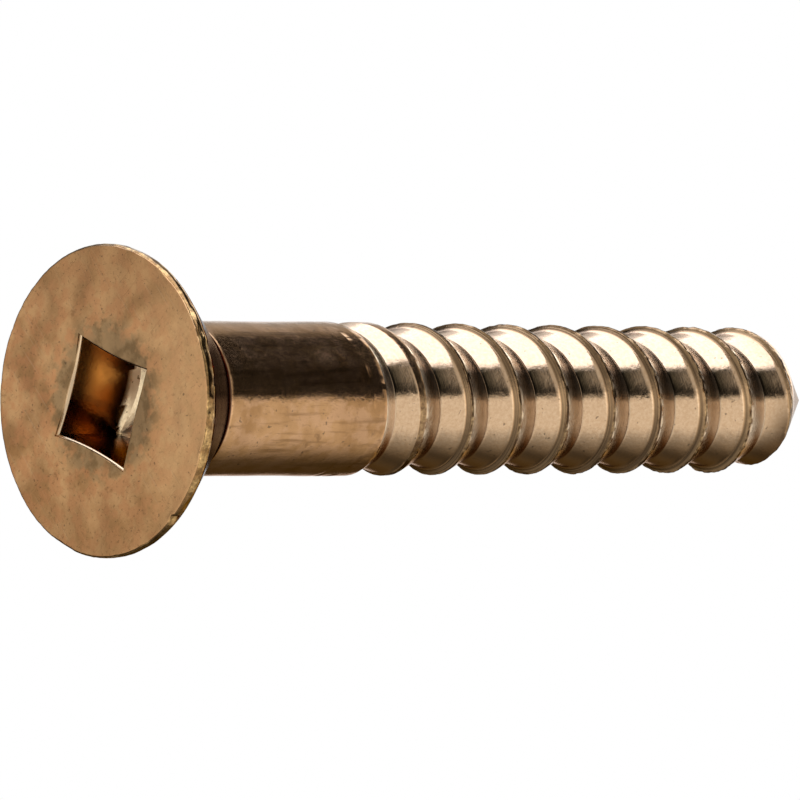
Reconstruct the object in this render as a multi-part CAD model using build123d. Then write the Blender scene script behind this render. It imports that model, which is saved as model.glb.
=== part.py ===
from build123d import *
import math
import os

# Flat head wood screw in silicon bronze, with a square recess, about number 8 by 1 inch.
# Millimetres. It stands on its flat head: the face lies on z = 0 and the point is up.
# The flats of the recess face X and Y. The origin is the centre of the head's face.

# Overall
screw_length = 25.4

# Head: a thin upright edge over a countersunk cone, with a small radius where it meets the shank
head_diameter = 7.9
head_edge_height = 0.22
head_edge_break = 0.07
countersink_angle = 82.0
neck_radius = 0.45

# Plain shank, which swells a little just before the thread
shank_diameter = 3.94
swell_length = 0.8

# Square recess, punched: its sides bow inwards and taper, and its floor is a shallow cone
recess_side = 2.7
recess_bow = 0.09
recess_wall_depth = 2.05
recess_draft = 1.5
recess_floor_slope = 22.0
recess_mouth_bevel = 0.05

# Shallow round dish that the punch leaves about the recess
dish_diameter = 3.96
dish_depth = 0.05

# Thread: one right-handed groove, cut into the blank from the shank to the point
thread_pitch = 1.745
thread_start_diameter = 3.98
thread_end_diameter = 3.94
thread_depth = 0.55
crest_width = 0.08
head_side_flank_angle = 24.0
head_side_flank_height = 0.25
point_side_flank_angle = 34.0
root_flat = 0.08

# Where the groove begins on the shank, and how it grows from nothing to its full depth
groove_start = 6.4
groove_start_angle = 34.0
run_in_turns = 3.4

# How far before the tip the groove has left the point, and over how many turns it does so
groove_end_before_tip = 1.4
run_out_turns = 0.6

# Point: a cone, blended into the threaded body by an arc
point_angle = 80.0
point_blend = 0.4

# The groove's cutter: how far its flanks run on past the crest, and the points on each turn of its path
cutter_clearance = 0.05
cutter_overlap_turns = 0.2
path_points_per_turn = 8


def tangent_of(degrees):
    return math.tan(math.radians(degrees))


head_radius = head_diameter / 2
shank_radius = shank_diameter / 2
crest_start_radius = thread_start_diameter / 2
crest_end_radius = thread_end_diameter / 2

# Heights along the screw
neck_height = head_edge_height + (head_radius - shank_radius) / tangent_of(countersink_angle / 2)
shoulder_height = screw_length - crest_end_radius / tangent_of(point_angle / 2)
blend_start = shoulder_height - point_blend
blend_end = shoulder_height + point_blend * math.cos(math.radians(point_angle / 2))
groove_end = screw_length - groove_end_before_tip

# The arc of the blend touches the body at its start and the cone of the point at its end
blend_radius = point_blend / tangent_of(point_angle / 4)
blend_middle = blend_start + blend_radius * math.sin(math.radians(point_angle / 4))


def crest_radius_at(height):
    """Radius of the blank that the thread is cut into, at a height from the shank to the tip."""
    if height < groove_start:
        return crest_start_radius
    if height <= blend_start:
        share = (height - groove_start) / (blend_start - groove_start)
        return crest_start_radius + share * (crest_end_radius - crest_start_radius)
    if height <= blend_end:
        arc_centre = crest_end_radius - blend_radius
        return arc_centre + math.sqrt(blend_radius**2 - (height - blend_start) ** 2)
    return (screw_length - height) * tangent_of(point_angle / 2)


def groove_depth_at(height):
    """Depth of the groove: it grows along the shank and runs out over the point."""
    turns_from_start = (height - groove_start) / thread_pitch
    turns_to_end = (groove_end - height) / thread_pitch
    grown = math.sin(math.pi / 2 * min(turns_from_start / run_in_turns, 1))
    left = min(turns_to_end / run_out_turns, 1)
    return thread_depth * min(grown, left)


def groove_path_point(height):
    """A point of the helix that the deepest line of the groove follows."""
    angle = math.radians(groove_start_angle + 360 * (height - groove_start) / thread_pitch)
    radius = crest_radius_at(height) - groove_depth_at(height)
    return (radius * math.cos(angle), radius * math.sin(angle), height)


def make_blank():
    """Head, shank and point, turned about Z."""
    with BuildPart() as blank:
        with BuildSketch(Plane.XZ):
            with BuildLine():
                Polyline(
                    (0, screw_length),
                    (0, 0),
                    (head_radius - head_edge_break, 0),
                    (head_radius, head_edge_break),
                    (head_radius, head_edge_height),
                    (shank_radius, neck_height),
                    (shank_radius, groove_start - swell_length),
                    (crest_start_radius, groove_start),
                    (crest_end_radius, blend_start),
                )
                ThreePointArc(
                    (crest_end_radius, blend_start),
                    (crest_radius_at(blend_middle), blend_middle),
                    (crest_radius_at(blend_end), blend_end),
                )
                Line((crest_radius_at(blend_end), blend_end), (0, screw_length))
            make_face()
        revolve(axis=Axis.Z)
        circles = blank.edges().filter_by(GeomType.CIRCLE)
        fillet(circles.sort_by(lambda edge: abs(edge.center().Z - neck_height))[0], neck_radius)
    return blank.part


def floor_radius(length, rise):
    """Radius of an arc that starts along the axis and rises by rise over length."""
    return (length**2 + rise**2) / (2 * rise)


def groove_section(path_point):
    """Section of the groove's cutter at a point of its path, with its deepest corner on the point."""
    point_side_slope = tangent_of(point_side_flank_angle)
    head_side_slope = tangent_of(head_side_flank_angle)
    groove_width = thread_pitch - crest_width
    head_side_crest = groove_width - thread_depth * point_side_slope
    floor_length = head_side_crest - head_side_flank_height * head_side_slope
    floor_rise = thread_depth - head_side_flank_height
    top = thread_depth + cutter_clearance
    with BuildSketch() as section:
        with BuildLine():
            RadiusArc((0, 0), (floor_rise, floor_length), floor_radius(floor_length, floor_rise))
            Polyline(
                (floor_rise, floor_length),
                (top, head_side_crest + cutter_clearance * head_side_slope),
                (top, -top * point_side_slope),
                (0, 0),
            )
        make_face()
        chamfer(section.vertices().sort_by_distance((0, 0))[0], root_flat)
    x, y, _ = path_point
    return Plane(origin=path_point, x_dir=(x, y, 0), z_dir=(y, -x, 0)) * section.sketch


def make_groove():
    """The cutter's section carried round its helix, from clear of the shank to clear of the point.

    The section is set at the middle of the path, where the groove has its full depth.
    """
    low = groove_start - cutter_overlap_turns * thread_pitch
    high = groove_end + cutter_overlap_turns * thread_pitch
    count = math.ceil((high - low) / thread_pitch * path_points_per_turn)
    points = [groove_path_point(low + (high - low) * i / count) for i in range(count + 1)]
    return sweep(groove_section(points[count // 2]), Spline(*points), is_frenet=True)


def bowed_square(half_side):
    """A square whose sides bow inwards between its corners."""
    corners = [(half_side * sx, half_side * sy) for sx, sy in ((1, 1), (-1, 1), (-1, -1), (1, -1))]
    reach = half_side - recess_bow
    middles = [(0, reach), (-reach, 0), (0, -reach), (reach, 0)]
    with BuildSketch() as square:
        with BuildLine():
            for i, middle in enumerate(middles):
                ThreePointArc(corners[i], middle, corners[(i + 1) % 4])
        make_face()
    return square.sketch


def make_recess():
    """What the punch takes out: the dish, the bevelled mouth, and the square with its cone floor."""
    half_side = recess_side / 2
    corner_radius = half_side * math.sqrt(2)
    dish_radius = dish_diameter / 2
    dish_slope = dish_depth / (dish_radius - half_side)
    floor_depth = recess_wall_depth + corner_radius * tangent_of(recess_floor_slope)
    reach = 2 * corner_radius
    flare = dish_depth + recess_mouth_bevel
    dish = Polyline((0, 0), (dish_radius, 0), (0, dish_radius * dish_slope), close=True)
    below_floor = Polyline(
        (0, floor_depth),
        (reach, floor_depth - reach * tangent_of(recess_floor_slope)),
        (reach, 2 * floor_depth),
        (0, 2 * floor_depth),
        close=True,
    )
    shaft = extrude(bowed_square(half_side), amount=floor_depth, taper=recess_draft)
    shaft -= revolve(Plane.XZ * make_face(below_floor), axis=Axis.Z)
    mouth = extrude(bowed_square(half_side + flare), amount=2 * flare, taper=45)
    return shaft + mouth + revolve(Plane.XZ * make_face(dish), axis=Axis.Z)


def make_screw():
    screw = make_blank() - make_groove() - make_recess()
    screw.label = "wood_screw"
    return screw


os.makedirs("parts", exist_ok=True)
export_step(make_screw(), "parts/wood_screw.step")
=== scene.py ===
# %% [markdown]
# # A flat head wood screw in silicon bronze
# The screw is one piece of metal. A rod was headed and punched with a square recess, its shank was
# left as drawn, and a single groove was cut round the rest to leave a thin, sharp thread.
# The frame gives the solid that this looks model stands for. The face of the head lies on z = 0 and
# the point is straight up. Blender counts in metres, so every size below is a number of millimetres
# times MM.

# %% Load the frame
import math

import bmesh
import bpy
import numpy as np
from mathutils import Matrix, Vector, noise


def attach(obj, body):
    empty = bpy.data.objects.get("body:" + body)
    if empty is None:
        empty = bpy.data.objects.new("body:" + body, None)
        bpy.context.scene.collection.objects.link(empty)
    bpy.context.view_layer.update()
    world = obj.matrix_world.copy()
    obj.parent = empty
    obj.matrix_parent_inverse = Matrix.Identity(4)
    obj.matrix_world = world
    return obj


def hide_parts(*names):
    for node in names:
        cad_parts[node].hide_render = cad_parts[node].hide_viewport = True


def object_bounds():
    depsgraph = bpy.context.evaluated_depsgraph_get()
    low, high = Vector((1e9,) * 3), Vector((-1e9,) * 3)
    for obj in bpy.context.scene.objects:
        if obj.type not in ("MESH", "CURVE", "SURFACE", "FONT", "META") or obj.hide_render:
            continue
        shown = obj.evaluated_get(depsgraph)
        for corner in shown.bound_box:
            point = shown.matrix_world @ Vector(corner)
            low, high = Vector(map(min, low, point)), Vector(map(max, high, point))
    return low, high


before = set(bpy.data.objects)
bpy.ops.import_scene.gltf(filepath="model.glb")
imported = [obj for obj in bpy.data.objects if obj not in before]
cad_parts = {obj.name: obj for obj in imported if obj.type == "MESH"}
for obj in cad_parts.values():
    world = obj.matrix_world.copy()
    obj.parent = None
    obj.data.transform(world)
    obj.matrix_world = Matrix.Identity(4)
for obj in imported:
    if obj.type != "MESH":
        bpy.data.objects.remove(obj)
cad_low, cad_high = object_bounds()
print("frame holds", sorted(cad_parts), "from", tuple(cad_low), "to", tuple(cad_high))

# %% Length and head
MM = 0.001
screw_length = cad_high.z
head_radius = (cad_high.x - cad_low.x) / 2
print("length", round(screw_length / MM, 3), "mm, head radius", round(head_radius / MM, 3), "mm")

# %% [markdown]
# ## The camera
# The photographer stood well back, on the head's side of the screw, and looked along it at a slant.
# A long lens from that place gives the same oval head and the same spacing of the crests. The screw
# stands on its head here, so the camera looks up from below the floor and is rolled until the
# screw's length runs across the picture.

# %% Camera
camera_place = Vector((130.4367, -44.9129, -122.3541)) * MM
camera_aim = Vector((0.0082, 0.0224, 10.3147)) * MM
image_down = Vector((0.32772, 0.94477, 0.00219))

forward = (camera_aim - camera_place).normalized()
right = image_down.cross(forward).normalized()
up = right.cross(forward).normalized()
camera_data = bpy.data.cameras.new("camera")
camera_data.sensor_width = 36
camera_data.lens = 331.43
camera_data.clip_start = 0.01
camera_data.clip_end = 10
camera = bpy.data.objects.new("camera", camera_data)
bpy.context.scene.collection.objects.link(camera)
camera_axes = Matrix((right, up, -forward)).transposed().to_4x4()
camera.matrix_world = Matrix.Translation(camera_place) @ camera_axes
bpy.context.scene.camera = camera
print("camera looks along", tuple(round(x, 3) for x in forward))

# %% [markdown]
# ## Nodes without the mouse
# Light, paper and metal are all trees of nodes. Three helpers keep them short: one adds a node with
# its settings and inputs, one does a sum, and one makes a soft step, which turns a number into a
# patch with a soft edge.

# %% Node helpers
def wire(tree, kind, inputs=None, **settings):
    """Adds one node, sets it, and joins or sets its inputs by name or number."""
    made = tree.nodes.new(kind)
    for name, value in settings.items():
        setattr(made, name, value)
    for key, value in (inputs or {}).items():
        if isinstance(value, bpy.types.NodeSocket):
            tree.links.new(value, made.inputs[key])
        else:
            made.inputs[key].default_value = value
    return made


def maths(tree, operation, a, b=0.0, clamp=False):
    made = wire(tree, "ShaderNodeMath", {0: a, 1: b}, operation=operation, use_clamp=clamp)
    return made.outputs[0]


def smooth_step(tree, value, low, high, start=0.0, end=1.0):
    """Start below low, end above high, and a soft rise or fall between them."""
    limits = {0: value, 1: low, 2: high, 3: start, 4: end}
    made = wire(tree, "ShaderNodeMapRange", limits, interpolation_type="SMOOTHSTEP")
    return made.outputs[0]


print("node helpers:", ", ".join(helper.__name__ for helper in (wire, maths, smooth_step)))

# %% [markdown]
# ## The light
# Bare metal shows the room more than its own colour. The photographer's room had a large soft lamp
# above the picture, a pale board below it on the camera's side, and darkness between the two, which
# draws the black band and the sharp line along the screw. The same room is built in the world shader
# as a few soft-edged patches, each a cap about a direction, so there is no noise and no card to hide.
# Directions are given as the picture sees them, with x towards the camera, y down the picture and z
# along the screw, and turned into the frame's own axes.

# %% World
bpy.context.scene.view_settings.view_transform = "Standard"
world = bpy.data.worlds.new("studio")
bpy.context.scene.world = world
world.use_nodes = True
wt = world.node_tree
wt.nodes.clear()

look = wire(wt, "ShaderNodeTexCoord").outputs["Generated"]
image_down_flat = Vector((image_down.x, image_down.y, 0)).normalized()
image_side = image_down_flat.cross(Vector((0, 0, 1)))
print("picture's x in the frame", tuple(round(v, 3) for v in image_side))


# %% A patch of light
def along(direction):
    """How far the ray points along a direction of the picture, from -1 to 1."""
    x, y, z = direction
    turned = (image_side * x + image_down_flat * y + Vector((0, 0, z))).normalized()
    dot = wire(wt, "ShaderNodeVectorMath", {0: look, 1: turned}, operation="DOT_PRODUCT")
    return dot.outputs["Value"]


def cap(direction, inner, outer, strength):
    """A round patch of light: full within the inner angle, nothing past the outer, in degrees."""
    edge = math.cos(math.radians(outer))
    full = math.cos(math.radians(inner))
    return smooth_step(wt, along(direction), edge, full, 0.0, strength)


def dimmed(light, share):
    return maths(wt, "MULTIPLY", light, share)


toward_camera = along((1, 0, 0))
downward = along((0, 1, 0))
along_screw = along((0, 0, 1))
print("the picture's three directions are ready")

# %% [markdown]
# The lamp is the one strong light. It ends before the directions that the plain shank mirrors, and
# that is why the shank's upper half is dark while the leaning floors of the groove are bright.
# The board starts at the picture's level, and fades below, behind and towards the point. A small lamp
# beyond the point lights the flanks that face it.

# %% The lamp and the board
softbox = cap((0, -0.989, 0.146), 38.5, 46.5, 2.4)
softbox = maths(wt, "MAXIMUM", softbox, cap((-0.5, -0.75, 0.42), 17, 27, 0.7))
softbox = dimmed(softbox, smooth_step(wt, along_screw, 0.5, 0.6, 1.0, 0.0))

horizon = smooth_step(wt, downward, -0.03, 0.04)
board = dimmed(horizon, smooth_step(wt, downward, 0.7, 0.94, 0.95, 0.4))
board = dimmed(board, smooth_step(wt, toward_camera, -0.3, 0.45, 0.12, 1.0))
board = dimmed(board, smooth_step(wt, along_screw, 0.5, 0.72, 1.0, 0.78))
root_light = cap((-0.36, -0.34, 0.87), 13, 24, 1.3)
root_light = dimmed(root_light, smooth_step(wt, along_screw, 0.7, 0.8))
print("nodes for the large lights", len(wt.nodes))

# %% The rest of the room
small_patches = {
    "behind": ((-0.62, -0.45, 0.64), 6, 32, 0.45),
    "beyond the head": ((-0.25, -0.35, -0.9), 22, 62, 0.75),
    "low, beyond the head": ((-0.6, 0.55, -0.6), 15, 45, 0.35),
    "over the camera": ((0.85, -0.5, -0.25), 14, 36, 0.6),
    "beside the camera": ((0.7, 0.15, -0.7), 8, 30, 0.5),
    "beyond the point": ((0, 0, 1), 24, 42, 0.6),
}
dark_corners = 0.018
warm_light = (1.0, 0.97, 0.9)
lamp_light = (0.94, 1.0, 1.16)

total = maths(wt, "ADD", board, dark_corners)
for patch in [root_light] + [cap(*small_patches[name]) for name in small_patches]:
    total = maths(wt, "ADD", patch, total)
warm = wire(wt, "ShaderNodeVectorMath", {0: warm_light, 3: total}, operation="SCALE").outputs[0]
cool = wire(wt, "ShaderNodeVectorMath", {0: lamp_light, 3: softbox}, operation="SCALE").outputs[0]
room = wire(wt, "ShaderNodeVectorMath", {0: warm, 1: cool}, operation="ADD").outputs[0]
print("small patches", len(small_patches))

# %% [markdown]
# The camera sees plain white behind the screw, as in the photograph. The metal sees that white backdrop
# too, where it lies behind the screw, and the room everywhere else.

# %% What is seen behind the screw
light_path = wire(wt, "ShaderNodeLightPath").outputs
backdrop = cap((-0.72, 0, 0.693), 12, 20, 1.0)
by_metal = maths(wt, "ADD", light_path["Is Glossy Ray"], light_path["Is Transmission Ray"], clamp=True)
is_white = maths(wt, "ADD", light_path["Is Camera Ray"], dimmed(backdrop, by_metal), clamp=True)
seen = wire(wt, "ShaderNodeMix", {0: is_white, 6: room, 7: (1, 1, 1, 1)}, data_type="RGBA").outputs[2]
background = wire(wt, "ShaderNodeBackground", {"Color": seen, "Strength": 1.0}).outputs[0]
wt.links.new(background, wire(wt, "ShaderNodeOutputWorld").inputs["Surface"])
print("nodes in the world", len(wt.nodes))

# %% [markdown]
# ## The floor
# The screw stands on a pale floor. The photograph's camera looks from under that floor, so the floor
# shows only to a camera that is above it, and lets every other ray through. There it takes the
# screw's shadow. It lies a hair below the head, so the two never fight for the same place.

# %% Floor
floor_radius = 0.6
floor_gap = 0.02 * MM
bm = bmesh.new()
bmesh.ops.create_circle(bm, cap_ends=True, segments=96, radius=floor_radius)
bmesh.ops.translate(bm, verts=bm.verts, vec=(0, 0, -floor_gap))
bmesh.ops.recalc_face_normals(bm, faces=bm.faces)
if bm.faces[:][0].normal.z < 0:
    bmesh.ops.reverse_faces(bm, faces=bm.faces)
floor_mesh = bpy.data.meshes.new("floor")
bm.to_mesh(floor_mesh)
bm.free()
floor = bpy.data.objects.new("floor", floor_mesh)
bpy.context.scene.collection.objects.link(floor)
print("floor radius", floor_radius)

# %% Pale paper on the floor
paper = bpy.data.materials.new("pale_floor")
paper.use_nodes = True
pt = paper.node_tree
pt.nodes.clear()
diffuse = wire(pt, "ShaderNodeBsdfDiffuse", {"Color": (0.8, 0.8, 0.8, 1)}).outputs[0]
glow = wire(pt, "ShaderNodeEmission", {"Color": (1, 1, 1, 1), "Strength": 0.55}).outputs[0]
pale = wire(pt, "ShaderNodeAddShader", {0: diffuse, 1: glow}).outputs[0]
clear = wire(pt, "ShaderNodeBsdfTransparent").outputs[0]
from_above = maths(pt, "SUBTRACT", 1.0, wire(pt, "ShaderNodeNewGeometry").outputs["Backfacing"])
shows = maths(pt, "MULTIPLY", from_above, wire(pt, "ShaderNodeLightPath").outputs["Is Camera Ray"])
mixed = wire(pt, "ShaderNodeMixShader", {0: shows, 1: clear, 2: pale}).outputs[0]
pt.links.new(mixed, wire(pt, "ShaderNodeOutputMaterial").inputs["Surface"])
floor_mesh.materials.append(paper)
print("nodes in the paper", len(pt.nodes))

# %% [markdown]
# ## The blank
# Before the thread is cut, the screw is a turned shape: a shank that swells a little, a straight run
# and a blunt cone, blended by an arc. Its radius at any height is all that the thread needs to know.

# %% Sizes of the blank
shank_radius = 1.97 * MM
swell_start = 5.8 * MM
groove_start = 6.9 * MM
crest_start_radius = 1.99 * MM
crest_end_radius = 1.97 * MM

point_half_angle = math.radians(40)
point_slope = math.tan(point_half_angle)
apex = screw_length + 0.09 * MM
shoulder = apex - crest_end_radius / point_slope
blend_length = 0.4 * MM
blend_start = shoulder - blend_length
blend_end = shoulder + blend_length * math.cos(point_half_angle)
blend_radius = blend_length / math.tan(point_half_angle / 2)
print("shoulder of the point at", round(shoulder / MM, 3), "mm")


# %% Radius of the blank
def blank_radius(z):
    """Radius of the blank at heights from the plain shank to the tip."""
    swell = np.interp(z, (swell_start, groove_start), (shank_radius, crest_start_radius))
    run = np.interp(z, (groove_start, blend_start), (crest_start_radius, crest_end_radius))
    inside = np.clip(z - blend_start, 0, blend_end - blend_start)
    arc = crest_end_radius - blend_radius + np.sqrt(blend_radius**2 - inside**2)
    cone = (apex - z) * point_slope
    point = np.where(z < blend_end, arc, cone)
    return np.where(z < groove_start, swell, np.where(z < blend_start, run, point))


print("blank at the shank, mid thread and shoulder, mm",
      [round(float(blank_radius(np.array(h * MM))) / MM, 3) for h in (5, 15, 23)])

# %% [markdown]
# ## The groove
# One cutter made the thread. From its deepest line the section rises in a long shallow flank to the
# crest on the head's side, and runs nearly straight, a little uphill, to a short steep flank under the
# next crest towards the point. The same section follows the helix all the way, lifted where the groove
# is shallow, as it is over its first turns and in the last half turn.

# %% Sizes of the groove
pitch = 1.745 * MM
thread_depth = 0.37 * MM
crest_width = 0.06 * MM
groove_end = screw_length - 1.75 * MM
groove_start_angle = math.radians(21.5)
run_in_turns = 2.3
run_out_turns = 0.4

point_flank_lean = 2.4
head_flank_lean = math.tan(math.radians(34))
head_flank_height = 0.17 * MM
root_round = 0.03 * MM
heel_round = 0.08 * MM
widest_groove = 1.4 * MM
floor_rise = thread_depth - head_flank_height
head_edge_full = pitch - crest_width - thread_depth * point_flank_lean
floor_length = head_edge_full - head_flank_height * head_flank_lean
print("floor of the groove", round(floor_length / MM, 3), "mm long, rises", round(floor_rise / MM, 3), "mm")


# %% Section and depth of the groove
def smooth_max(a, b, soft):
    """The greater of two heights, with the corner between them rounded."""
    return np.maximum(a, b) + np.maximum(soft - np.abs(a - b), 0) ** 2 / (4 * soft)


def cutter_height(s):
    """Height of the cutter's edge over its deepest line, s along the screw from that line."""
    section = smooth_max(-s / point_flank_lean, s * floor_rise / floor_length, root_round)
    return smooth_max(section, floor_rise + (s - floor_length) / head_flank_lean, heel_round)


def groove_depth(z):
    """Depth of the groove where its deepest line is at height z. Past either end there is none."""
    grown = np.sin(math.pi / 2 * np.clip((z - groove_start) / pitch / run_in_turns, 0, 1))
    left = np.clip((groove_end - z) / pitch / run_out_turns, 0, 1)
    return thread_depth * np.minimum(grown, left)


def groove_edge(z, side):
    """How far from its deepest line at z the groove meets the blank: side 1 to the tip, -1 to the head."""
    low = np.zeros_like(z)
    high = np.full_like(z, widest_groove)
    depth = groove_depth(z)
    for _ in range(30):
        middle = (low + high) / 2
        s = middle * side
        over = cutter_height(s) - depth > blank_radius(z + s) - blank_radius(z)
        high, low = np.where(over, middle, high), np.where(over, low, middle)
    return side * (low + high) / 2


print("groove", round(head_edge_full / MM, 3), "mm wide over its deepest line at full depth")

# %% [markdown]
# ## The threaded length
# A helix can be spun: a line of points that repeats at every pitch is turned once about the axis while
# it climbs by one pitch, and its last copy lands on its first, one pitch up. The rows then follow the
# groove, so its edges stay crisp with few faces. The two ends are cut flat and joined to plain rings.

# %% Rows of one turn
around = 240
floor_shares = (0, 0.05, 0.15, 0.3, 0.45, 0.6, 0.74, 0.85, 0.92, 0.97)
flank_shares = (0, 0.3, 0.6, 0.88)
crest_shares = (0, 1 / 3, 2 / 3)
strip_shares = (0, 0.025, 0.15, 0.35, 0.6, 0.8, 0.95)
point_edge_full = head_edge_full + crest_width
stops = (0, floor_length, head_edge_full, point_edge_full, pitch)
all_shares = (floor_shares, flank_shares, crest_shares, strip_shares)
row_stops = [start + (end - start) * share
             for start, end, shares in zip(stops, stops[1:], all_shares) for share in shares]
print("rows in a turn", len(row_stops))

# %% Spin a plain tube whose rows climb with the thread
thread_from, thread_to = 6.2 * MM, 24.3 * MM
spare_top = 0.1 * MM
drawn_turns = range(-2, 12)
weld = 0.002 * MM

bm = bmesh.new()
start = Vector((math.cos(groove_start_angle), math.sin(groove_start_angle), 0)) * crest_start_radius
heights = [groove_start + turn * pitch + stop for turn in drawn_turns for stop in row_stops]
line = [bm.verts.new(start + Vector((0, 0, h))) for h in heights if h < thread_to + spare_top]
edges = [bm.edges.new(pair) for pair in zip(line, line[1:])]
bmesh.ops.spin(bm, geom=line + edges, cent=(0, 0, 0), axis=(0, 0, 1), dvec=(0, 0, pitch / around),
               angle=2 * math.pi, steps=around, use_merge=False, use_duplicate=False)
bmesh.ops.remove_doubles(bm, verts=bm.verts, dist=weld)
for height, side in ((thread_from, -1), (thread_to, 1)):
    everything = bm.verts[:] + bm.edges[:] + bm.faces[:]
    bmesh.ops.bisect_plane(bm, geom=everything, dist=0.05 * weld, plane_co=(0, 0, height),
                           plane_no=(0, 0, side), clear_outer=True)
print("thread rows", len(line), "faces", len(bm.faces), "open edges", sum(e.is_boundary for e in bm.edges))

# %% [markdown]
# Each point now knows its angle and height, so it knows its place in the cutter's section. It is slid
# along the screw until the rows sit on the groove's true edges, and moved in or out to the true radius.
# Where the groove is still shallow its edges draw together, and the rows follow them only as far as
# the groove has grown.

# %% Where each point lies in the section
points = np.array([v.co for v in bm.verts])
angle = np.arctan2(points[:, 1], points[:, 0])
first_line = groove_start + ((angle - groove_start_angle) / (2 * math.pi)) % 1 * pitch
line_z = first_line + np.floor((points[:, 2] - first_line) / pitch + 1e-6) * pitch
s = points[:, 2] - line_z

full_follow_depth = 0.05 * MM
before, after = groove_depth(line_z), groove_depth(line_z + pitch)
follow = np.clip(before / full_follow_depth, 0, 1)
follow_next = np.clip(after / full_follow_depth, 0, 1)
head_edge_s = head_edge_full + follow * (groove_edge(line_z, 1) - head_edge_full)
next_edge = pitch + groove_edge(line_z + pitch, -1)
point_edge_s = point_edge_full + follow_next * (next_edge - point_edge_full)
print("widest land between two grooves", round(float((point_edge_s - head_edge_s).max()) / MM, 3), "mm")

# %% Cut the groove
on_floor = s / head_edge_full * head_edge_s
on_land = head_edge_s + (s - head_edge_full) / crest_width * (point_edge_s - head_edge_s)
past_land = point_edge_s + (s - point_edge_full) / (pitch - point_edge_full) * (pitch - point_edge_s)
slid = np.where(s < head_edge_full, on_floor, np.where(s < point_edge_full, on_land, past_land))
at_an_end = (points[:, 2] < thread_from + 0.5 * weld) | (points[:, 2] > thread_to - 0.5 * weld)
slid = np.where(at_an_end, s, slid)

z = line_z + slid
no_groove = 1.0
cut = np.where(before > 0, blank_radius(line_z) - before + cutter_height(slid), no_groove)
cut_next = np.where(after > 0, blank_radius(line_z + pitch) - after + cutter_height(slid - pitch), no_groove)
radius = np.minimum(blank_radius(z), np.minimum(cut, cut_next))
print("deepest cut", round(float((blank_radius(z) - radius).max()) / MM, 3), "mm")

# %% [markdown]
# The same points are told what part of the section they lie on, so that the finish can differ between
# the floor, the flank, the crest and the strip between a crest and the next deepest line. Where the
# thread begins, the land between two turns is still wide and keeps the look of the shank.

# %% Parts of the section
edge_margin = 0.004 * MM
on_crest = (slid > head_edge_s - edge_margin) & (slid < point_edge_s + edge_margin)
on_flank = (slid > floor_length + 0.01 * MM) & (slid < head_edge_s - edge_margin)
on_strip = slid > point_edge_s + edge_margin
sharp_crest = np.clip((0.35 * MM - (point_edge_s - head_edge_s)) / (0.2 * MM), 0, 1)
zones = {
    "floor": ~(on_crest | on_flank | on_strip) * follow,
    "flank": on_flank * follow,
    "crest": on_crest * follow * sharp_crest,
    "strip": on_strip * follow_next,
}
layers = {name: bm.verts.layers.float.new(name) for name in zones}
for i, v in enumerate(bm.verts):
    for name, zone in zones.items():
        v[layers[name]] = float(zone[i])
print({name: int((zone > 0).sum()) for name, zone in zones.items()}, "points")

# %% [markdown]
# The cutter leaves a burr on the crest: a lip that is rough, bent towards the point, and torn in places.
# It is rougher towards the point, where the tool pushed harder. Noise moves the crest's own points, so
# the torn edge shows in outline, as bump in the finish never would.

# %% Burrs
def grain(x, y, h, fineness, seed):
    """Smooth noise about a point, between -1 and 1."""
    return noise.noise(Vector((x, y, h)) / MM * fineness + Vector((seed, 7.3 * seed, -3.1 * seed)))


burr_size = np.interp(z / MM, (7, 12, 20, 24), (0.007, 0.013, 0.026, 0.03)) * MM
for i, v in enumerate(bm.verts):
    r, a, height = radius[i], angle[i], z[i]
    if on_crest[i] and not at_an_end[i]:
        x, y = r * math.cos(a), r * math.sin(a)
        lump = 0.6 * grain(x, y, height, 2.2, 1) + 0.6 * grain(x, y, height, 7.0, 2)
        torn = max(grain(x, y, height, 4.0, 5) - 0.3, 0)
        r += burr_size[i] * (lump - 2.5 * torn)
        bent = max(grain(x, y, height, 3.0, 4) - 0.25, 0)
        height += burr_size[i] * (0.9 * grain(x, y, height, 5.0, 3) + 3.0 * bent)
    v.co = (r * math.cos(a), r * math.sin(a), height)
print("points on the crest", int(on_crest.sum()))

# %% [markdown]
# ## The head, the recess and the shank
# These are rings. One ring is pulled from the last and set to its own radius and height, which may
# change with the angle: that is how a round head can hold a square recess with bowed sides. The rings
# start at the middle of the recess's floor and end on the shank, just short of the thread.

# %% Rings
def set_ring(ring, radius_at, height_at):
    """Sets every point of a ring by its own angle."""
    for v in ring:
        step = round(math.atan2(v.co.y, v.co.x) / (2 * math.pi) * around)
        a = 2 * math.pi * step / around
        v.co = (radius_at(a) * math.cos(a), radius_at(a) * math.sin(a), height_at(a))


def outer_edges(made):
    return [g for g in made if isinstance(g, bmesh.types.BMEdge) and len(g.link_faces) == 1]


def pull_ring(edges, radius_at, height_at):
    """Extrudes a ring of edges and returns the new ring's edges."""
    made = bmesh.ops.extrude_edge_only(bm, edges=edges)["geom"]
    set_ring([g for g in made if isinstance(g, bmesh.types.BMVert)], radius_at, height_at)
    return outer_edges(made)


def pull_circle(edges, reach, height):
    return pull_ring(edges, lambda a: reach, lambda a: height)


print("points in a ring", around)

# %% [markdown]
# The punch has a square tip with sides that bow in and taper. Its end is a cone, but worn flatter near
# the walls. Round the mouth it leaves a small bevel, a lip worn on one side, and a shallow dish.

# %% Sizes of the recess
recess_half = 1.35 * MM
recess_bow = 0.09 * MM
recess_draft = math.tan(math.radians(1.5))
floor_slope = math.tan(math.radians(22))
floor_drop = 0.775
recess_middle_depth = 2.05 * MM + recess_half * math.sqrt(2) * floor_slope * floor_drop
dish_radius = 1.98 * MM
dish_depth = 0.05 * MM
mouth_bevel = 0.05 * MM
wall_top = dish_depth + mouth_bevel
mouth_half = recess_half + mouth_bevel
print("middle of the recess", round(recess_middle_depth / MM, 3), "mm deep")


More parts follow.
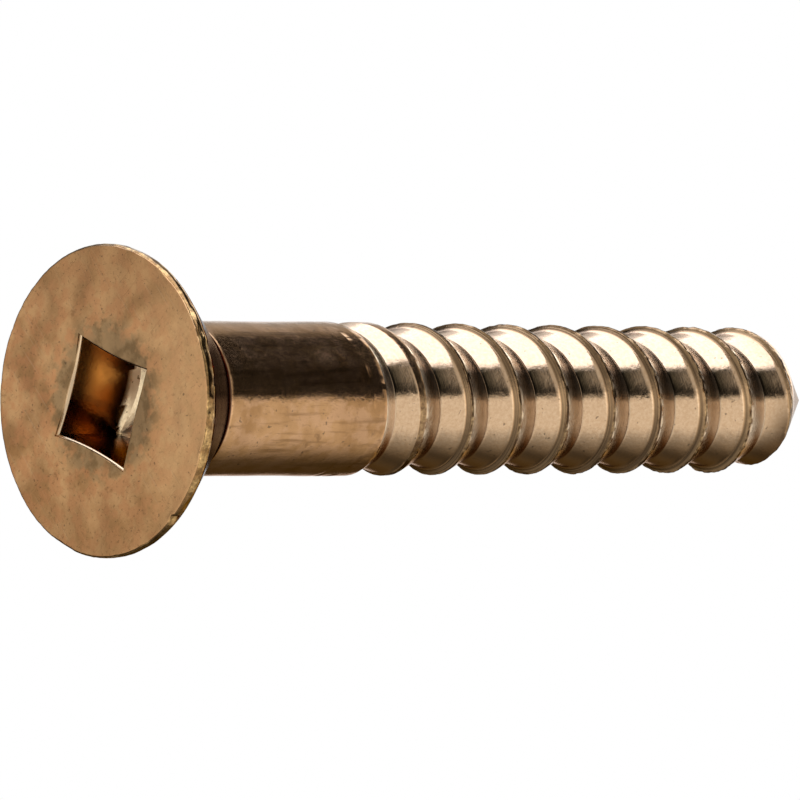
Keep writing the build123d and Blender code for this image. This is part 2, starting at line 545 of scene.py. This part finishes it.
# %% Shape of the recess
def square_reach(angle, half):
    """Distance from the middle to the side of a square whose sides bow inwards."""
    off = (angle + math.pi / 4) % (math.pi / 2) - math.pi / 4
    arc = (half**2 + recess_bow**2) / (2 * recess_bow)
    centre = half - recess_bow + arc
    return centre * math.cos(off) - math.sqrt(arc**2 - (centre * math.sin(off)) ** 2)


def wall_half(depth):
    return recess_half - depth * recess_draft


def wall_foot(angle):
    """Depth at which the wall meets the floor. Each guess gives the reach for a better one."""
    depth = 2.2 * MM
    for _ in range(4):
        depth = recess_middle_depth - square_reach(angle, wall_half(depth)) * floor_slope * floor_drop
    return depth


def floor_reach(angle):
    return square_reach(angle, wall_half(wall_foot(angle)))


def floor_depth(angle, share):
    """The floor's cone is full to 0.7 of the way out, and a quarter as steep beyond."""
    return recess_middle_depth - min(share, 0.7 + (share - 0.7) / 4) * floor_reach(angle) * floor_slope


def wall_depth(angle, share):
    return wall_top + share * (wall_foot(angle) - wall_top)


def worn_lip(angle):
    """The lip of the mouth is rolled back further on one side, where the punch left it at a slant."""
    off = (angle - math.radians(173)) % (2 * math.pi)
    return 0.09 * MM * math.exp(-((min(off, 2 * math.pi - off) / 0.42) ** 2))


def dish_depth_at(reach):
    return dish_depth * (dish_radius - reach) / (dish_radius - recess_half)


def mouth_depth(angle, share):
    return max(dish_depth_at(square_reach(angle, mouth_half)), wall_top - share * mouth_bevel)


def dish_point(angle, share):
    return (square_reach(angle, mouth_half) + worn_lip(angle)) * (1 - share) + dish_radius * share


print("walls end", round(wall_foot(0) / MM, 3), "mm deep at the flats")

# %% Recess, from the middle of its floor to the face
floor_rings = (0.15, 0.3, 0.45, 0.6, 0.7, 0.8, 0.88, 0.94, 0.98, 1.0)
wall_rings = (0.985, 0.96, 0.93, 0.88, 0.8, 0.7, 0.6, 0.5, 0.4, 0.3, 0.2, 0.12, 0.07, 0.03, 0.01, 0)
mouth_rings = (0.15, 0.5, 0.85, 1.0)
dish_rings = (0.03, 0.12, 0.25, 0.4, 0.55, 0.7, 0.82, 0.91, 0.97, 1.0)

first_reach = 0.05 * MM
made = bmesh.ops.create_circle(bm, cap_ends=True, cap_tris=True, segments=around, radius=first_reach)
ring = made["verts"]
for v in ring:
    v.co.z = recess_middle_depth
edges = [e for e in bm.edges if e.is_boundary and e.verts[0] in ring and e.verts[1] in ring]
set_ring([v for v in ring if v.co.xy.length > first_reach / 5],
         lambda a: first_reach, lambda a: recess_middle_depth)
for share in floor_rings:
    edges = pull_ring(edges, lambda a: share * floor_reach(a), lambda a: floor_depth(a, share))
for share in wall_rings:
    edges = pull_ring(edges, lambda a: square_reach(a, wall_half(wall_depth(a, share))),
                      lambda a: wall_depth(a, share))
for share in mouth_rings:
    edges = pull_ring(edges,
                      lambda a: square_reach(a, recess_half + share * mouth_bevel) + share * worn_lip(a),
                      lambda a: mouth_depth(a, share))
for share in dish_rings:
    edges = pull_ring(edges, lambda a: dish_point(a, share), lambda a: dish_depth_at(dish_point(a, share)))
print("faces with the recess", len(bm.faces))

# %% [markdown]
# The face runs out flat to the head's edge. The edge is a thin upright band with a worn break, and the
# countersunk cone behind it rises to the neck, which is a small fillet into the shank.

# %% Face and edge of the head
head_edge = 0.22 * MM
face_edge = head_radius - 0.075 * MM
face_rings = 24
for i in range(1, face_rings + 1):
    edges = pull_circle(edges, dish_radius + (face_edge - dish_radius) * i / face_rings, 0.0)
edge_section = [(-0.055, 0.002), (-0.03, 0.015), (-0.012, 0.035), (-0.003, 0.06), (0, 0.09), (0, 0.125),
                (0, 0.16), (-0.002, 0.195), (-0.012, 0.225), (-0.035, 0.255)]
for out, height in edge_section:
    edges = pull_circle(edges, head_radius + out * MM, height * MM)
print("rings on the edge", len(edge_section))

# %% Cone, neck and shank
neck_radius = 0.45 * MM
neck_turn = math.radians(41)
cone_slope = math.tan(neck_turn)
cone_top = head_edge + (head_radius - shank_radius) / cone_slope
neck_reach = neck_radius * math.tan(neck_turn / 2)
cone_from = (head_radius - 0.05 * MM, head_edge + 0.05 * MM / cone_slope)
cone_to = (shank_radius + neck_reach * math.sin(neck_turn), cone_top - neck_reach * math.cos(neck_turn))
cone_steps, neck_steps, shank_steps = 14, 5, 22
join_gap = 0.07 * MM

for i in range(0, cone_steps + 1):
    share = i / cone_steps
    edges = pull_circle(edges, cone_from[0] + share * (cone_to[0] - cone_from[0]),
                        cone_from[1] + share * (cone_to[1] - cone_from[1]))
for i in range(1, neck_steps + 1):
    swing = neck_turn * (1 - i / neck_steps)
    edges = pull_circle(edges, shank_radius + neck_radius * (1 - math.cos(swing)),
                        cone_top + neck_reach - neck_radius * math.sin(swing))
shank_from, shank_to = cone_top + neck_reach, thread_from - join_gap
for i in range(1, shank_steps + 1):
    height = shank_from + (shank_to - shank_from) * i / shank_steps
    edges = pull_circle(edges, float(blank_radius(np.array(height))), height)
print("neck ends at", round(shank_from / MM, 3), "mm")


# %% Join the shank to the thread, and close the point
def open_ring(height):
    """The open edges near a height."""
    return [e for e in bm.edges if e.is_boundary and all(abs(v.co.z - height) < weld for v in e.verts)]


bmesh.ops.bridge_loops(bm, edges=open_ring(shank_to) + open_ring(thread_from))
edges = open_ring(thread_to)
for share in (0.25, 0.5, 0.7, 0.85, 0.95):
    made = bmesh.ops.extrude_edge_only(bm, edges=edges)["geom"]
    tip_ring = [g for g in made if isinstance(g, bmesh.types.BMVert)]
    height = thread_to + (apex - thread_to) * share
    for v in tip_ring:
        v.co = Vector((v.co.x, v.co.y, 0)).normalized() * (apex - height) * point_slope
        v.co.z = height
    edges = outer_edges(made)
bmesh.ops.pointmerge(bm, verts=tip_ring, merge_co=(0, 0, apex))
bmesh.ops.recalc_face_normals(bm, faces=bm.faces)
print("screw faces", len(bm.faces), "open edges", sum(e.is_boundary for e in bm.edges),
      "volume", round(bm.calc_volume() / MM**3, 2), "mm3")

# %% [markdown]
# ## Knocks and wear
# No real head is quite true. This one sits a little out of line with the shank, and its recess a little
# off its centre. A boxed screw also knocks against its neighbours: its rim is chipped and nicked, its
# face is not quite flat after the header's blow, and the shank has small dents. All of it is moved in
# the mesh itself.

# %% Head and recess out of true
head_lean = (image_side * -0.03 + image_down_flat * 0.07) * MM
punch_lean = (image_side * -0.06 + image_down_flat * 0.04) * MM
punch_shrink = 0.025
mouth_top, walls_end, recess_end = 0.075 * MM, 2.15 * MM, 3.2 * MM
wall_zone, floor_zone = 1.93 * MM, 1.85 * MM
mark_height, mark_reach, mark_fade = 0.11 * MM, 3 * MM, 1.1 * MM
lean_from = 0.26 * MM
for v in bm.verts:
    x, y, h = v.co
    r = math.hypot(x, y)
    punched = punch_lean - Vector((x, y, 0)) * punch_shrink
    if h < recess_end and r < (wall_zone if h < walls_end else floor_zone):
        v.co += head_lean + punched
    elif h < cone_top:
        v.co += head_lean * (1 - max(h - lean_from, 0) / (cone_top - lean_from))
        if h < mark_height:
            v.co += punched * min(max((mark_reach - r) / mark_fade, 0), 1)
print("head out of line by", round(head_lean.length / MM, 3), "mm")

# %% Chips, dents and unevenness
rim_depth, rim_height = 0.09 * MM, 0.26 * MM
chip_depth, rub_depth, nick_depth = 0.1 * MM, 0.008 * MM, 0.09 * MM
nick_angle, nick_width = math.radians(30), 0.02
face_top, face_swell = 0.055 * MM, 0.004 * MM
rim_points = 0
for v in bm.verts:
    x, y, h = v.co
    r = math.hypot(x, y)
    off_x, off_y = x - head_lean.x, y - head_lean.y
    edge_reach = math.hypot(off_x, off_y)
    if edge_reach > head_radius - rim_depth and h < rim_height:
        chip = max(grain(x, y, h * 2, 1.6, 11) - 0.18, 0) + 0.5 * max(grain(x, y, h * 2, 4.5, 12) - 0.1, 0)
        chip *= 0.35 + 0.65 * min(max(x / head_radius + 0.3, 0), 1)
        rubbed = rub_depth * (1 + grain(x, y, h, 8.0, 13))
        nick = nick_depth * math.exp(-((math.atan2(y, x) - nick_angle) / nick_width) ** 2)
        pull = 1 - (chip_depth * chip + rubbed + nick) / edge_reach
        v.co.x, v.co.y = head_lean.x + off_x * pull, head_lean.y + off_y * pull
        rim_points += 1
    elif h < face_top:
        v.co.z += face_swell * (1 + grain(x, y, 0, 1.1, 14) + 0.5 * grain(x, y, 0, 3.0, 15))
    elif 2.7 * MM < h < thread_from and r < 2.1 * MM:
        pull = 1 + 0.0022 * grain(x, y, h, 1.3, 16) + 0.0012 * grain(x, y, h, 4.0, 17)
        v.co.x, v.co.y = x * pull, y * pull
print("rim points", rim_points)

# %% The piece
mesh = bpy.data.meshes.new("screw")
bm.to_mesh(mesh)
bm.free()
for polygon in mesh.polygons:
    polygon.use_smooth = True
mesh.set_sharp_from_angle(angle=math.radians(32))
screw = bpy.data.objects.new("bronze_screw", mesh)
bpy.context.scene.collection.objects.link(screw)
print("faces in the piece", len(mesh.polygons))

# %% [markdown]
# The rest of the screw is told apart too. Each part gets an attribute that is 1 on its own points and 0
# elsewhere, which the finish reads.

# %% Parts of the head
points = np.array([v.co for v in mesh.vertices])
reach, height = np.hypot(points[:, 0], points[:, 1]), points[:, 2]
head_reach = np.hypot(points[:, 0] - head_lean.x, points[:, 1] - head_lean.y)
on_rim = (head_reach > head_radius - 0.2 * MM) & (height > 0.0125 * MM) & (height < rim_height)
recess_limit = np.where(height < walls_end, 2.1 * MM, floor_zone)
in_recess = (reach < recess_limit) & (height > mouth_top) & (height < recess_end)
on_cone = (height > 0.24 * MM) & (height < cone_top + 0.1 * MM) & (reach > shank_radius + 0.01 * MM)
head_parts = {
    "recess": in_recess,
    "face": (height < 0.07 * MM) & ~in_recess & ~on_rim,
    "cone": on_cone & ~in_recess,
    "recess_floor": in_recess & (height > 1.98 * MM),
    "rim": on_rim,
}
for name, inside in head_parts.items():
    mesh.attributes.new(name, "FLOAT", "POINT").data.foreach_set("value", inside.astype(np.float32))
    print(name, int(inside.sum()), "points")

# %% [markdown]
# ## Tarnished bronze
# Silicon bronze goes from pink to brown as it tarnishes, and no part of this screw had the same
# treatment: the face is dull and mottled from the header, the shank is drawn wire, and the groove is
# fresh from the cutter. One material reads the parts of the screw from the mesh and mixes their colours,
# adds blotches, stains, fine scratches, painted light and painted shade in the corners and on one side,
# and turns the marks of the tools into bumps.
# Every pattern reads Object coordinates in millimetres, so it stays where it is on the metal.

# %% Material and its own short helpers
bronze = bpy.data.materials.new("bronze")
bronze.use_nodes = True
bt = bronze.node_tree
bt.nodes.clear()


def part(name):
    return wire(bt, "ShaderNodeAttribute", attribute_name=name).outputs["Fac"]


def plus(a, b, clamp=False):
    return maths(bt, "ADD", a, b, clamp)


def minus(a, b):
    return maths(bt, "SUBTRACT", a, b)


def times(a, b):
    return maths(bt, "MULTIPLY", a, b)


def step(value, low, high, start=0.0, end=1.0):
    return smooth_step(bt, value, low, high, start, end)


def mix(a, b, amount):
    """Colour a, with b laid over it by an amount."""
    made = wire(bt, "ShaderNodeMix", {0: amount}, data_type="RGBA")
    for socket, value in ((made.inputs[6], a), (made.inputs[7], b)):
        if isinstance(value, bpy.types.NodeSocket):
            bt.links.new(value, socket)
        else:
            socket.default_value = (*value, 1)
    return made.outputs[2]


print("material", bronze.name)

# %% Places on the screw, in millimetres
place = wire(bt, "ShaderNodeTexCoord").outputs["Object"]
place_mm = wire(bt, "ShaderNodeVectorMath", {0: place, 3: 1 / MM}, operation="SCALE").outputs[0]
x_mm, y_mm, z_mm = wire(bt, "ShaderNodeSeparateXYZ", {0: place_mm}).outputs
reach_mm = maths(bt, "SQRT", plus(times(x_mm, x_mm), times(y_mm, y_mm)))


def distance_along(direction):
    dot = wire(bt, "ShaderNodeVectorMath", {0: place_mm, 1: direction}, operation="DOT_PRODUCT")
    return dot.outputs["Value"]


toward = distance_along(image_side)
down = distance_along(image_down_flat)
theta = maths(bt, "ARCTAN2", y_mm, x_mm)
along_helix = minus(times(z_mm, 2 * math.pi * MM / pitch), theta)
helix_turns = maths(bt, "DIVIDE", plus(along_helix, groove_start_angle), 2 * math.pi)
helix_share = maths(bt, "FRACT", minus(helix_turns, groove_start / pitch))
print("nodes that say where a point is", len(bt.nodes))


# %% Patterns
def cloud(scale, low, high, detail=4.0, where=None, roughness=0.5):
    """Blotches between 0 and 1, with more of them the lower the two limits."""
    settings = {"Vector": where or place_mm, "Scale": scale, "Detail": detail, "Roughness": roughness}
    return step(wire(bt, "ShaderNodeTexNoise", settings).outputs[0], low, high)


def scratches(turn, across, lengthwise, low, high):
    """Fine straight marks that lie along one direction."""
    size = (1 / lengthwise, 1 / across, 1 / across)
    laid = wire(bt, "ShaderNodeMapping", {"Vector": place_mm, "Rotation": turn, "Scale": size},
                vector_type="TEXTURE")
    return cloud(1.0, low, high, 2.0, laid.outputs[0])


def ring_lines(value, turns, climb, scale, low, high):
    """Lines that repeat with an angle, such as the marks of a cutter along its groove."""
    cosine, sine = maths(bt, "COSINE", value), maths(bt, "SINE", value)
    wave = wire(bt, "ShaderNodeCombineXYZ", {0: times(cosine, turns), 1: times(sine, turns), 2: climb})
    return cloud(scale, low, high, 3.0, wave.outputs[0])


blotches = cloud(0.8, 0.4, 0.62)
patches = cloud(2.4, 0.42, 0.6)
fine = cloud(11.0, 0.3, 0.7, 6.0, roughness=0.6)
specks = cloud(7.0, 0.68, 0.74, 2.0)
waves = cloud(0.9, 0.2, 0.8, 0.5)
mottle = cloud(1.7, 0.44, 0.6, 7.0, roughness=0.6)
stains = cloud(1.5, 0.58, 0.7, 8.0, roughness=0.65)
grit = cloud(8.0, 0.56, 0.68, 8.0, roughness=0.75)
drawn_out = wire(bt, "ShaderNodeVectorMath", {0: place_mm, 1: (4.5, 4.5, 0.4)}, operation="MULTIPLY")
streaks = cloud(1.0, 0.52, 0.68, 5.0, drawn_out.outputs[0])
print("nodes with the clouds", len(bt.nodes))

# %% Marks of the tools
tool_lines = ring_lines(along_helix, 7.0, times(z_mm, 0.12), 1.6, 0.3, 0.7)
across_face = scratches((0, 0, 0.5), 13.0, 0.5, 0.62, 0.7)
across_face_too = scratches((0, 0, 2.1), 17.0, 0.9, 0.64, 0.7)
down_shank = scratches((0.5, -1.1, 0.3), 15.0, 0.8, 0.6, 0.7)
down_shank_too = scratches((-0.4, -1.3, 1.2), 12.0, 1.2, 0.62, 0.7)
print("nodes with the marks", len(bt.nodes))

# %% [markdown]
# The colours come one part at a time, each from its cleanest metal to its darkest stain or painted shade. In
# the groove a band just above the middle of the picture is painted dark near the deepest line and on the
# strip, as a painted dark reflection, and near the point the groove is darker, most on the lower side.

# %% Shank
drawn_metal = mix((0.64, 0.37, 0.18), (0.46, 0.25, 0.11), blotches)
rosy = mix(drawn_metal, (0.74, 0.45, 0.27), times(patches, 0.5))
streaked = mix(rosy, (0.3, 0.16, 0.07), times(streaks, 0.7))
stained = mix(streaked, (0.28, 0.15, 0.07), times(stains, 0.7))
scratched = mix(stained, (0.4, 0.23, 0.12), times(down_shank, 0.4))
# Towards the lower side of the picture the shank is painted a darker brown: painted shade.
shank_colour = mix(scratched, (0.44, 0.23, 0.09), step(down, 0.8, 1.7, 0.0, 0.35))
print("shank done, nodes", len(bt.nodes))

# %% Groove and crest
# A band just above the middle of the picture, painted dark in the groove's root and strip: a painted dark
# reflection.
painted_dark_band = times(step(down, -0.35, 0.05, 1.0, 0.0), step(down, -0.95, -0.7))
near_root = step(helix_share, 0.05, 0.3, 0.9, 0.0)
# Near the point the groove is painted darker, more so towards the lower side of the picture.
by_the_point = times(step(z_mm, 22.3, 23.3), step(down, -0.1, 0.8, 0.25, 0.9))

# Towards the top of the picture the strip is painted a pale cream: a painted highlight.
strip_colour = mix((0.56, 0.43, 0.3), (0.95, 0.82, 0.66), step(down, -1.1, -0.75, 1.0, 0.0))
strip_colour = mix(strip_colour, (0.05, 0.035, 0.02), painted_dark_band)
fresh_cut = mix((0.7, 0.5, 0.33), (0.62, 0.42, 0.26), fine)
root_with_painted_dark = mix(fresh_cut, (0.12, 0.09, 0.05), times(near_root, painted_dark_band))
with_strip = mix(root_with_painted_dark, strip_colour, times(part("strip"), 0.85))
darker_by_point = mix(with_strip, (0.12, 0.07, 0.035), by_the_point)
# Towards the lower side of the picture the groove is painted a darker brown: painted shade.
groove_colour = mix(darker_by_point, (0.55, 0.3, 0.12), step(down, 0.9, 1.6, 0.0, 0.75))

flank_colour = mix((0.34, 0.225, 0.125), (0.13, 0.08, 0.045), times(tool_lines, 0.85))
crest_colour = mix((0.5, 0.34, 0.18), (0.07, 0.04, 0.02), patches)
crest_colour = mix(crest_colour, (0.09, 0.05, 0.025), fine)
print("groove done, nodes", len(bt.nodes))

# %% Face, dish and rim
headed_metal = mix((0.64, 0.375, 0.18), (0.42, 0.225, 0.098), blotches)
reddened = mix(headed_metal, (0.56, 0.26, 0.12), times(patches, 0.6))
stained = mix(reddened, (0.33, 0.17, 0.075), times(stains, 0.85))
gritty = mix(stained, (0.26, 0.15, 0.07), times(grit, 0.55))
# The face is painted lighter towards the camera's side: painted light.
face_with_painted_light = mix(gritty, (0.78, 0.48, 0.24), times(step(toward, 0.8, 3.2), 0.5))
scratched = mix(face_with_painted_light, (0.66, 0.46, 0.28), times(across_face, 0.2))
# Towards the top and the bottom of the picture the face is painted a darker brown: painted shade.
painted_face_shade = (0.4, 0.22, 0.1)
face_colour = mix(scratched, painted_face_shade, step(down, -3.6, -1.4, 0.55, 0.0))
face_colour = mix(face_colour, painted_face_shade, step(down, 1.8, 3.6, 0.0, 0.4))

dish_colour = mix((0.4, 0.26, 0.135), (0.26, 0.165, 0.08), mottle)
ragged_reach = plus(reach_mm, times(patches, 0.35))
in_dish = times(part("face"), step(ragged_reach, 1.75, 2.35, 1.0, 0.0))
rim_colour = mix((0.66, 0.42, 0.18), (0.36, 0.2, 0.08), patches)
rim_colour = mix(rim_colour, (0.12, 0.07, 0.03), times(fine, 0.7))
print("head done, nodes", len(bt.nodes))

# %% Recess, cone and point
recess_colour = mix((0.64, 0.28, 0.065), (0.4, 0.17, 0.04), blotches)
# Deeper in the recess the walls are painted dark, as painted shade, and just inside the mouth they are
# darker too.
recess_colour = mix(recess_colour, (0.05, 0.022, 0.006), step(z_mm, 1.2, 1.8))
recess_colour = mix(recess_colour, (0.07, 0.035, 0.01), step(z_mm, 0.32, 0.95, 0.95, 0.0))
# The recess's floor is painted a pale cream: a painted highlight.
recess_colour = mix(recess_colour, (1.0, 0.9, 0.74), part("recess_floor"))
recess_colour = mix(recess_colour, (0.56, 0.42, 0.28), step(z_mm, 0.1, 0.15, 1.0, 0.0))

cone_colour = mix((0.11, 0.07, 0.055), (0.17, 0.11, 0.085), blotches)
point_colour = mix((0.36, 0.27, 0.19), (0.14, 0.09, 0.055), patches)
on_point = step(z_mm, 23.45, 23.75)
print("recess done, nodes", len(bt.nodes))

# %% All parts together
in_groove = plus(part("floor"), part("strip"), clamp=True)
colour = mix(shank_colour, groove_colour, in_groove)
for part_colour, share in (
    (flank_colour, part("flank")),
    (crest_colour, part("crest")),
    (face_colour, part("face")),
    (dish_colour, times(in_dish, 0.95)),
    (cone_colour, part("cone")),
    (point_colour, on_point),
    (rim_colour, part("rim")),
    (recess_colour, part("recess")),
    ((0.12, 0.08, 0.05), times(specks, 0.6)),
):
    colour = mix(colour, part_colour, share)
print("nodes in the colour", len(bt.nodes))

# %% [markdown]
# Drawn and cut metal shines, and the face, the crest's burr and the recess's floor are duller. At a
# glancing angle bare metal turns white, but metal under tarnish keeps a brown tint, so the head's cone and
# the point get one. The lower side of the screw gets a brown tint too, as a painted reflection.

# %% Shine
roughness = plus(times(fine, 0.06), 0.13)
roughness = minus(roughness, times(in_groove, 0.02))
for share, duller in (
    (part("face"), 0.22),
    (in_dish, 0.08),
    (part("crest"), 0.12),
    (part("recess_floor"), 0.15),
):
    roughness = plus(roughness, times(share, duller))

# The point gets a brown glancing tint, and the lower side of the picture gets it as a painted reflection.
point_and_painted_lower_tint = maths(bt, "MAXIMUM", on_point, step(down, 0.8, 1.4))
edge_tint = mix((1.0, 1.0, 1.0), (0.6, 0.42, 0.28), point_and_painted_lower_tint)
edge_tint = mix(edge_tint, (0.12, 0.09, 0.08), part("cone"))
print("nodes with the shine", len(bt.nodes))

# %% Bumps, in millimetres
relief = plus(times(fine, 0.0009), times(patches, 0.0016))
relief = minus(relief, times(times(tool_lines, 0.005), part("flank")))
relief = minus(relief, times(times(tool_lines, 0.0005), in_groove))

uneven_face = minus(plus(times(mottle, 0.0015), times(waves, 0.035)), times(grit, 0.003))
relief = plus(relief, times(uneven_face, part("face")))
face_marks = times(plus(across_face, across_face_too), part("face"))
relief = minus(relief, times(face_marks, 0.0015))

drawn = minus(1.0, plus(part("face"), in_groove, clamp=True))
shank_marks = times(plus(down_shank, down_shank_too), drawn)
relief = minus(relief, times(shank_marks, 0.0005))
bump = wire(bt, "ShaderNodeBump", {"Height": relief, "Strength": 1.0, "Distance": MM}).outputs[0]
print("nodes with the bumps", len(bt.nodes))

# %% Finish the bronze
sockets = {"Base Color": colour, "Metallic": 1.0, "Roughness": roughness, "Normal": bump,
           "Specular Tint": edge_tint}
surface = wire(bt, "ShaderNodeBsdfPrincipled", sockets).outputs[0]
bt.links.new(surface, wire(bt, "ShaderNodeOutputMaterial").inputs["Surface"])
mesh.materials.append(bronze)
print("nodes in the bronze", len(bt.nodes))

# %% [markdown]
# ## Hand over
# The piece rides on the screw's only body, takes the place of the solid, and fills its material slot.

# %% Hand over
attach(screw, "root")
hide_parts("wood_screw")
